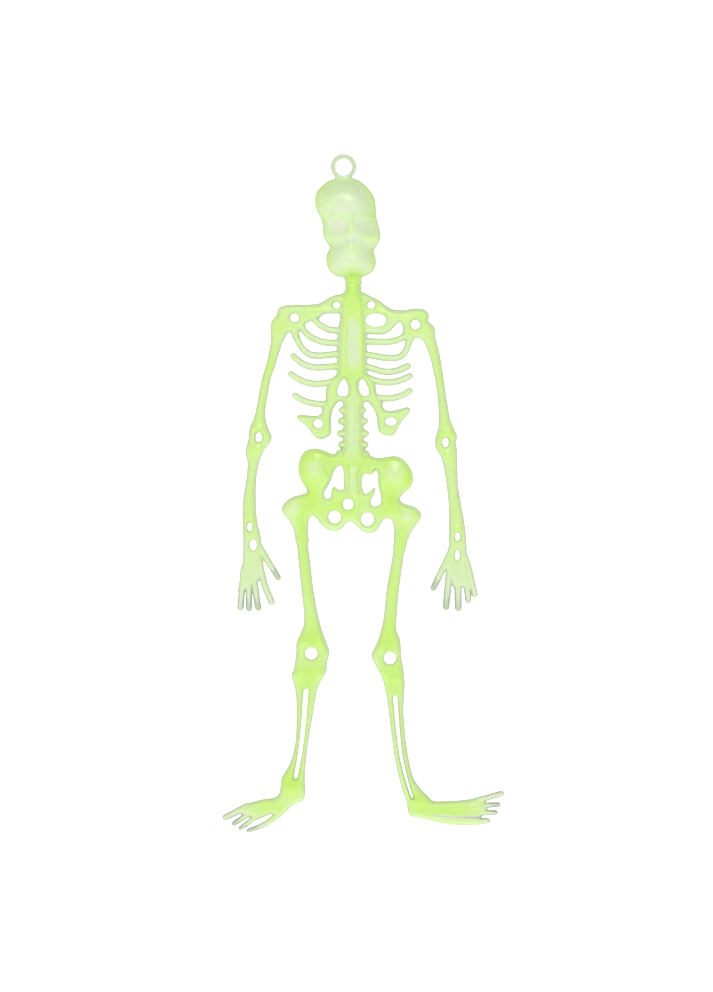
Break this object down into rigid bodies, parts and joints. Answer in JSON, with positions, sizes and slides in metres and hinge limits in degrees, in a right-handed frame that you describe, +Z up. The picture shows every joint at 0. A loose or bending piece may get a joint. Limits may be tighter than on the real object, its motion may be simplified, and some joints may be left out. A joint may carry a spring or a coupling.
{
  "type": "hanging skeleton decoration",
  "caption": "Flat-backed hanging skeleton figure in soft glow-in-the-dark plastic, with a ring on the skull, moulded bones and limbs that flex and spring back.",
  "frame": {"origin": "on the axis of the hanging ring, at the flat back of the figure", "axes": "+X to the right seen from the front, +Z up, the relief faces -Y and the flat back +Y"},
  "size_m": [0.1328, 0.011, 0.3201],
  "materials": {
    "glow_plastic": "soft satin, see-through, pale yellow-green"
  },
  "bodies": {
    "skull": {"skull": "glow_plastic", "hanging_ring": "glow_plastic"},
    "torso": {"neck_web": "glow_plastic", "breastplate": "glow_plastic", "upper_spine": "glow_plastic", "left_shoulder": "glow_plastic", "right_shoulder": "glow_plastic", "left_costal_arch": "glow_plastic", "right_costal_arch": "glow_plastic", "left_rib_1": "glow_plastic", "left_rib_2": "glow_plastic", "left_rib_3": "glow_plastic", "left_rib_4": "glow_plastic", "left_rib_5": "glow_plastic", "left_rib_6": "glow_plastic", "right_rib_1": "glow_plastic", "right_rib_2": "glow_plastic", "right_rib_3": "glow_plastic", "right_rib_4": "glow_plastic", "right_rib_5": "glow_plastic", "right_rib_6": "glow_plastic"},
    "pelvis": {"waist_web": "glow_plastic", "lower_spine": "glow_plastic", "pelvis": "glow_plastic"},
    "left_upper_arm": {"left_shoulder_web": "glow_plastic", "left_upper_arm": "glow_plastic"},
    "left_forearm": {"left_elbow_web": "glow_plastic", "left_forearm": "glow_plastic"},
    "left_hand": {"left_wrist_web": "glow_plastic", "left_hand": "glow_plastic"},
    "left_thigh": {"left_hip_web": "glow_plastic", "left_thigh": "glow_plastic"},
    "left_shin": {"left_knee_web": "glow_plastic", "left_shin": "glow_plastic"},
    "left_foot": {"left_ankle_web": "glow_plastic", "left_foot": "glow_plastic"},
    "right_upper_arm": {"right_shoulder_web": "glow_plastic", "right_upper_arm": "glow_plastic"},
    "right_forearm": {"right_elbow_web": "glow_plastic", "right_forearm": "glow_plastic"},
    "right_hand": {"right_wrist_web": "glow_plastic", "right_hand": "glow_plastic"},
    "right_thigh": {"right_hip_web": "glow_plastic", "right_thigh": "glow_plastic"},
    "right_shin": {"right_knee_web": "glow_plastic", "right_shin": "glow_plastic"},
    "right_foot": {"right_ankle_web": "glow_plastic", "right_foot": "glow_plastic"}
  },
  "joints": [
    {"name": "neck_flex", "type": "hinge", "parent": "skull", "child": "torso", "pos_m": [0.0045, -0.0025, -0.0557], "axis": [-1, 0, 0], "range_deg": [-30, 30], "stiffness_Nm_per_rad": 0.08, "deforming": ["neck_web"]},
    {"name": "waist_flex", "type": "hinge", "parent": "torso", "child": "pelvis", "pos_m": [0.0045, -0.0025, -0.1228], "axis": [-1, 0, 0], "range_deg": [-30, 30], "stiffness_Nm_per_rad": 0.09, "deforming": ["waist_web"]},
    {"name": "left_shoulder_flex", "type": "hinge", "parent": "torso", "child": "left_upper_arm", "pos_m": [-0.03252, -0.0016, -0.0865], "axis": [-1, 0, 0], "range_deg": [-60, 60], "stiffness_Nm_per_rad": 0.016, "deforming": ["left_shoulder_web"]},
    {"name": "left_elbow_flex", "type": "hinge", "parent": "left_upper_arm", "child": "left_forearm", "pos_m": [-0.0399, -0.0016, -0.1278], "axis": [-1, 0, 0], "range_deg": [-30, 60], "stiffness_Nm_per_rad": 0.02, "deforming": ["left_elbow_web"]},
    {"name": "left_wrist_flex", "type": "hinge", "parent": "left_forearm", "child": "left_hand", "pos_m": [-0.0439, -0.0013, -0.17], "axis": [-1, 0, 0], "range_deg": [-60, 60], "stiffness_Nm_per_rad": 0.008, "deforming": ["left_wrist_web"]},
    {"name": "left_hip_flex", "type": "hinge", "parent": "pelvis", "child": "left_thigh", "pos_m": [-0.01955, -0.0016, -0.1765], "axis": [-1, 0, 0], "range_deg": [-30, 60], "stiffness_Nm_per_rad": 0.016, "deforming": ["left_hip_web"]},
    {"name": "left_knee_flex", "type": "hinge", "parent": "left_thigh", "child": "left_shin", "pos_m": [-0.01505, -0.0016, -0.2299], "axis": [1, 0, 0], "range_deg": [-15, 60], "stiffness_Nm_per_rad": 0.024, "deforming": ["left_knee_web"]},
    {"name": "left_ankle_flex", "type": "hinge", "parent": "left_shin", "child": "left_foot", "pos_m": [-0.02335, -0.0015, -0.28925], "axis": [-1, 0, 0], "range_deg": [-30, 30], "stiffness_Nm_per_rad": 0.012, "deforming": ["left_ankle_web"]},
    {"name": "right_shoulder_flex", "type": "hinge", "parent": "torso", "child": "right_upper_arm", "pos_m": [0.043, -0.0016, -0.089], "axis": [-1, 0, 0], "range_deg": [-60, 60], "stiffness_Nm_per_rad": 0.016, "deforming": ["right_shoulder_web"]},
    {"name": "right_elbow_flex", "type": "hinge", "parent": "right_upper_arm", "child": "right_forearm", "pos_m": [0.0484, -0.0016, -0.1302], "axis": [-1, 0, 0], "range_deg": [-30, 60], "stiffness_Nm_per_rad": 0.02, "deforming": ["right_elbow_web"]},
    {"name": "right_wrist_flex", "type": "hinge", "parent": "right_forearm", "child": "right_hand", "pos_m": [0.05385, -0.0013, -0.17485], "axis": [-1, 0, 0], "range_deg": [-60, 60], "stiffness_Nm_per_rad": 0.008, "deforming": ["right_wrist_web"]},
    {"name": "right_hip_flex", "type": "hinge", "parent": "pelvis", "child": "right_thigh", "pos_m": [0.02655, -0.0016, -0.1795], "axis": [-1, 0, 0], "range_deg": [-30, 60], "stiffness_Nm_per_rad": 0.016, "deforming": ["right_hip_web"]},
    {"name": "right_knee_flex", "type": "hinge", "parent": "right_thigh", "child": "right_shin", "pos_m": [0.0204, -0.0016, -0.2321], "axis": [1, 0, 0], "range_deg": [-15, 60], "stiffness_Nm_per_rad": 0.024, "deforming": ["right_knee_web"]},
    {"name": "right_ankle_flex", "type": "hinge", "parent": "right_shin", "child": "right_foot", "pos_m": [0.03435, -0.0015, -0.2972], "axis": [-1, 0, 0], "range_deg": [-30, 30], "stiffness_Nm_per_rad": 0.012, "deforming": ["right_ankle_web"]}
  ]
}
